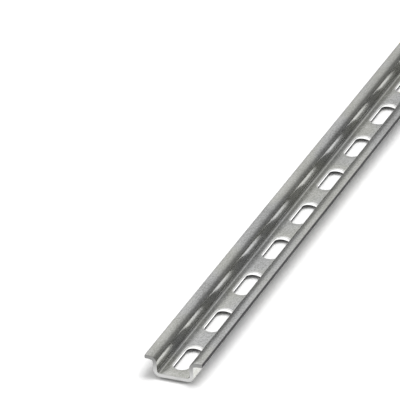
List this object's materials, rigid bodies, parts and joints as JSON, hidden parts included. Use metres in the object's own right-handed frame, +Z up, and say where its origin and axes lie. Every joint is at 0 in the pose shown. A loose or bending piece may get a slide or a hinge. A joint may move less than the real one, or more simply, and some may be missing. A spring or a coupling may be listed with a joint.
{
  "type": "din rail",
  "caption": "Straight perforated top-hat mounting rail, 15 mm wide and 5.5 mm high, with a row of round-ended fixing slots along its channel floor.",
  "frame": {"origin": "centre of the bounding box's bottom face: mid-length and mid-width of the floor's underside", "axes": "+X along the rail, +Y across it, +Z up out of the open channel, through the flanges' tops"},
  "size_m": [1, 0.015, 0.0055],
  "materials": {
    "zinc_plated_steel": "zinc-plated steel strip, passivated, satin with fine rolling marks"
  },
  "bodies": {
    "root": {"rail": "zinc_plated_steel"}
  },
  "joints": []
}
